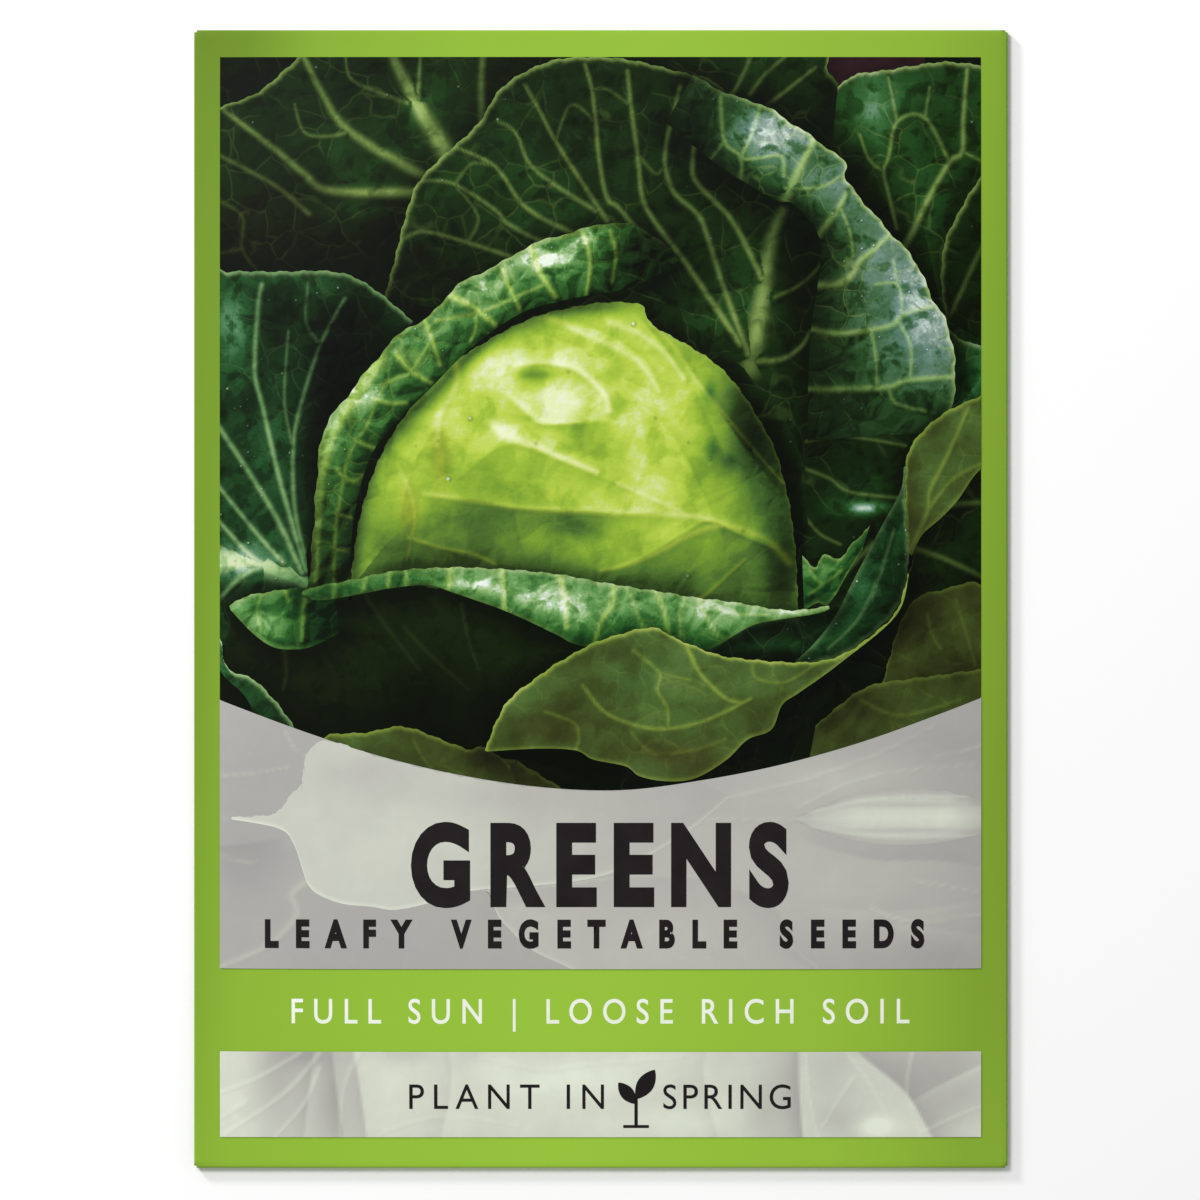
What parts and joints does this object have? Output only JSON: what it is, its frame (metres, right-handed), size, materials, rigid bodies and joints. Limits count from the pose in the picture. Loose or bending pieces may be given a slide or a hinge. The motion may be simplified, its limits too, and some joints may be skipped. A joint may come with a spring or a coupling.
{
  "type": "seed packet",
  "caption": "Flat folded paper packet with a printed front, glued side and end flaps on the back, and loose round seeds inside.",
  "frame": {"origin": "centre of the packet's outline, on the plane of the two end flaps that it rests on", "axes": "+Z out of the printed front, +Y towards the top of the printed picture, +X to the right of someone reading the front"},
  "size_m": [0.0824, 0.1154, 0.0036],
  "materials": {
    "printed_paper": "coated paper, satin, printed in four colours",
    "glue": "dried paste, matte",
    "seed_coat": "matte, dark brown"
  },
  "bodies": {
    "root": {"bottom_flap_glue": "glue", "packet_sheet": "printed_paper", "seed_01": "seed_coat", "seed_02": "seed_coat", "seed_03": "seed_coat", "seed_04": "seed_coat", "seed_05": "seed_coat", "seed_06": "seed_coat", "seed_07": "seed_coat", "seed_08": "seed_coat", "seed_09": "seed_coat", "seed_10": "seed_coat", "seed_11": "seed_coat", "seed_12": "seed_coat", "seed_13": "seed_coat", "seed_14": "seed_coat", "seed_15": "seed_coat", "seed_16": "seed_coat", "seed_17": "seed_coat", "seed_18": "seed_coat", "seed_19": "seed_coat", "seed_20": "seed_coat", "seed_21": "seed_coat", "seed_22": "seed_coat", "seed_23": "seed_coat", "seed_24": "seed_coat", "seed_25": "seed_coat", "seed_26": "seed_coat", "seed_27": "seed_coat", "seed_28": "seed_coat", "seed_29": "seed_coat", "seed_30": "seed_coat", "seed_31": "seed_coat", "seed_32": "seed_coat", "seed_33": "seed_coat", "seed_34": "seed_coat", "seed_35": "seed_coat", "seed_36": "seed_coat", "seed_37": "seed_coat", "seed_38": "seed_coat", "seed_39": "seed_coat", "seed_40": "seed_coat", "seed_41": "seed_coat", "seed_42": "seed_coat", "seed_43": "seed_coat", "seed_44": "seed_coat", "seed_45": "seed_coat", "seed_46": "seed_coat", "seed_47": "seed_coat", "seed_48": "seed_coat", "side_seam_glue": "glue", "top_flap_glue": "glue"}
  },
  "joints": []
}
